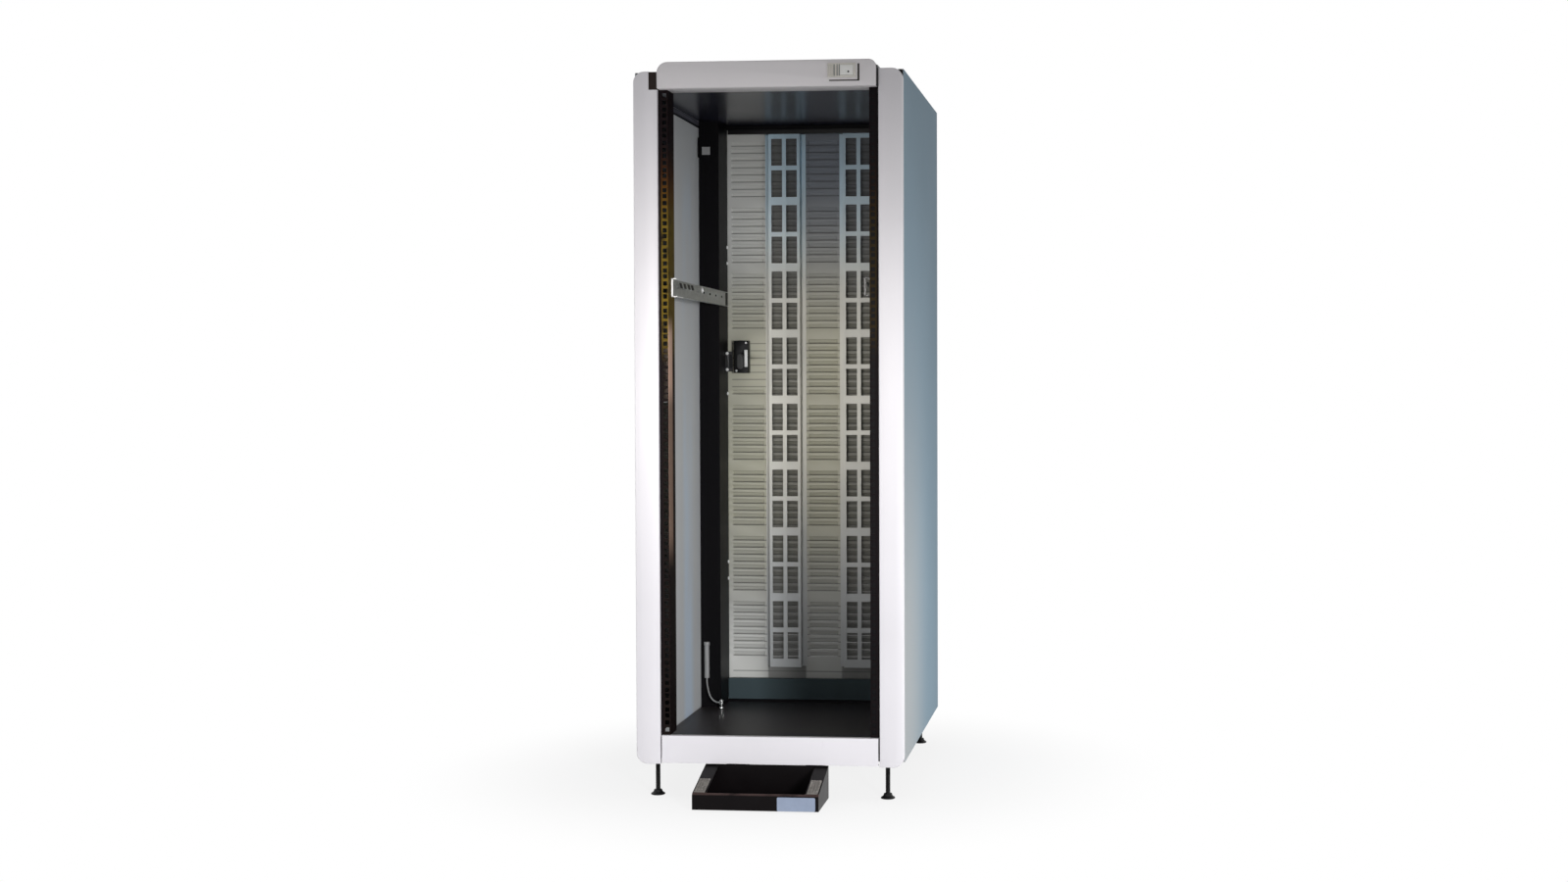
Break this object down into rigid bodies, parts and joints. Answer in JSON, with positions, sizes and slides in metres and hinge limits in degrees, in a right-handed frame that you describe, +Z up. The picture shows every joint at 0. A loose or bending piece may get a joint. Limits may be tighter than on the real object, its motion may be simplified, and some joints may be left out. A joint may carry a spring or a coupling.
{
  "type": "network server rack cabinet",
  "caption": "Floor-standing 19 inch rack cabinet, open at the front, with rack rails, a louvred lockable rear door, a power button, a pull-out stabiliser foot and levelling feet.",
  "frame": {"origin": "on the floor, below the middle of the bounding box", "axes": "+X to the right seen from the front, +Y from the front to the rear door, +Z up"},
  "size_m": [0.6, 0.97, 1.631],
  "materials": {
    "trim_paint": "satin pale grey paint",
    "header_paint": "satin light grey paint",
    "cover_paint": "satin blue-grey paint",
    "black_paint": "semi-gloss black paint",
    "door_paint": "satin warm grey paint",
    "zinc": "zinc plated",
    "dark_steel": "blackened thread",
    "black_plastic": "fine grain",
    "brown_plastic": "matt",
    "pale_plastic": "satin",
    "grey_rubber": "matt",
    "pale_film": "gloss",
    "grey_sleeve": "matt"
  },
  "bodies": {
    "cabinet": {"base_pan": "black_paint", "roof_pan": "black_paint", "top_cover": "cover_paint", "left_front_post": "black_paint", "right_front_post": "black_paint", "left_rear_post": "black_paint", "right_rear_post": "black_paint", "front_sill": "black_paint", "rear_sill": "black_paint", "rear_lintel": "black_paint", "left_rack_rail": "black_paint", "right_rack_rail": "black_paint", "left_chassis_runner": "zinc", "right_chassis_runner": "zinc", "left_corner_trim": "trim_paint", "right_corner_trim": "trim_paint", "door_hinge_block": "brown_plastic", "kick_panel": "trim_paint", "header_fascia": "header_paint", "switch_bezel": "pale_plastic", "left_side_cover": "cover_paint", "right_side_cover": "cover_paint", "upper_hinge_bracket": "zinc", "lower_hinge_bracket": "zinc", "strike_angle": "zinc", "strike_wear_pad": "black_plastic", "left_stabiliser_guide": "zinc", "right_stabiliser_guide": "zinc", "earth_sleeve": "grey_sleeve", "earth_stud": "zinc", "earth_lead": "grey_sleeve"},
    "rear_door": {"rear_door": "door_paint", "left_door_stiffener": "door_paint", "right_door_stiffener": "door_paint", "lock_case": "black_plastic", "lock_clip": "zinc", "handle_rosette": "black_plastic"},
    "door_handle": {"lever_handle": "black_plastic", "lock_spindle": "zinc", "lock_cam": "black_paint"},
    "key_plug": {"key_plug": "zinc"},
    "power_button": {"power_button": "pale_plastic"},
    "stabiliser": {"stabiliser_foot": "black_paint", "left_stabiliser_arm": "black_paint", "right_stabiliser_arm": "black_paint", "left_tread_pad": "grey_rubber", "right_tread_pad": "grey_rubber", "blank_plate": "pale_film"},
    "front_left_pad": {"front_left_foot_pad": "black_plastic"},
    "front_left_stem": {"front_left_foot_stem": "dark_steel"},
    "front_right_pad": {"front_right_foot_pad": "black_plastic"},
    "front_right_stem": {"front_right_foot_stem": "dark_steel"},
    "rear_left_pad": {"rear_left_foot_pad": "black_plastic"},
    "rear_left_stem": {"rear_left_foot_stem": "dark_steel"},
    "rear_right_pad": {"rear_right_foot_pad": "black_plastic"},
    "rear_right_stem": {"rear_right_foot_stem": "dark_steel"}
  },
  "joints": [
    {"name": "rear_door_hinge", "type": "hinge", "parent": "cabinet", "child": "rear_door", "pos_m": [0.286, 0.44535, 0.848], "axis": [0, 0, -1], "range_deg": [0, 130]},
    {"name": "door_handle_turn", "type": "hinge", "parent": "rear_door", "child": "door_handle", "pos_m": [-0.211, 0.46635, 0.988], "axis": [0, 1, 0], "range_deg": [0, 90]},
    {"name": "key_turn", "type": "hinge", "parent": "door_handle", "child": "key_plug", "pos_m": [-0.211, 0.4775, 0.988], "axis": [0, 1, 0], "range_deg": [0, 90]},
    {"name": "power_button_press", "type": "slide", "parent": "cabinet", "child": "power_button", "axis": [0, 1, 0], "range_m": [0, 0.003], "stiffness_N_per_m": 400, "springref_m": -0.001},
    {"name": "stabiliser_slide", "type": "slide", "parent": "cabinet", "child": "stabiliser", "axis": [0, 1, 0], "range_m": [0, 0.138]},
    {"name": "front_left_foot_travel", "type": "slide", "parent": "cabinet", "child": "front_left_pad", "axis": [0, 0, 1], "range_m": [-0.014, 0.003]},
    {"name": "front_left_stem_turn", "type": "hinge", "parent": "front_left_pad", "child": "front_left_stem", "pos_m": [-0.26, -0.31035, 0.06], "axis": [0, 0, 1], "range_deg": [-2881, 618]},
    {"name": "front_right_foot_travel", "type": "slide", "parent": "cabinet", "child": "front_right_pad", "axis": [0, 0, 1], "range_m": [-0.014, 0.003]},
    {"name": "front_right_stem_turn", "type": "hinge", "parent": "front_right_pad", "child": "front_right_stem", "pos_m": [0.26, -0.31035, 0.06], "axis": [0, 0, 1], "range_deg": [-2881, 618]},
    {"name": "rear_left_foot_travel", "type": "slide", "parent": "cabinet", "child": "rear_left_pad", "axis": [0, 0, 1], "range_m": [-0.014, 0.003]},
    {"name": "rear_left_stem_turn", "type": "hinge", "parent": "rear_left_pad", "child": "rear_left_stem", "pos_m": [-0.26, 0.37485, 0.06], "axis": [0, 0, 1], "range_deg": [-2881, 618]},
    {"name": "rear_right_foot_travel", "type": "slide", "parent": "cabinet", "child": "rear_right_pad", "axis": [0, 0, 1], "range_m": [-0.014, 0.003]},
    {"name": "rear_right_stem_turn", "type": "hinge", "parent": "rear_right_pad", "child": "rear_right_stem", "pos_m": [0.26, 0.37485, 0.06], "axis": [0, 0, 1], "range_deg": [-2881, 618]}
  ],
  "couplings": [
    {"joint": "front_left_stem_turn", "follows": "front_left_foot_travel", "rad_per_m": 3590.4},
    {"joint": "front_right_stem_turn", "follows": "front_right_foot_travel", "rad_per_m": 3590.4},
    {"joint": "rear_left_stem_turn", "follows": "rear_left_foot_travel", "rad_per_m": 3590.4},
    {"joint": "rear_right_stem_turn", "follows": "rear_right_foot_travel", "rad_per_m": 3590.4}
  ]
}
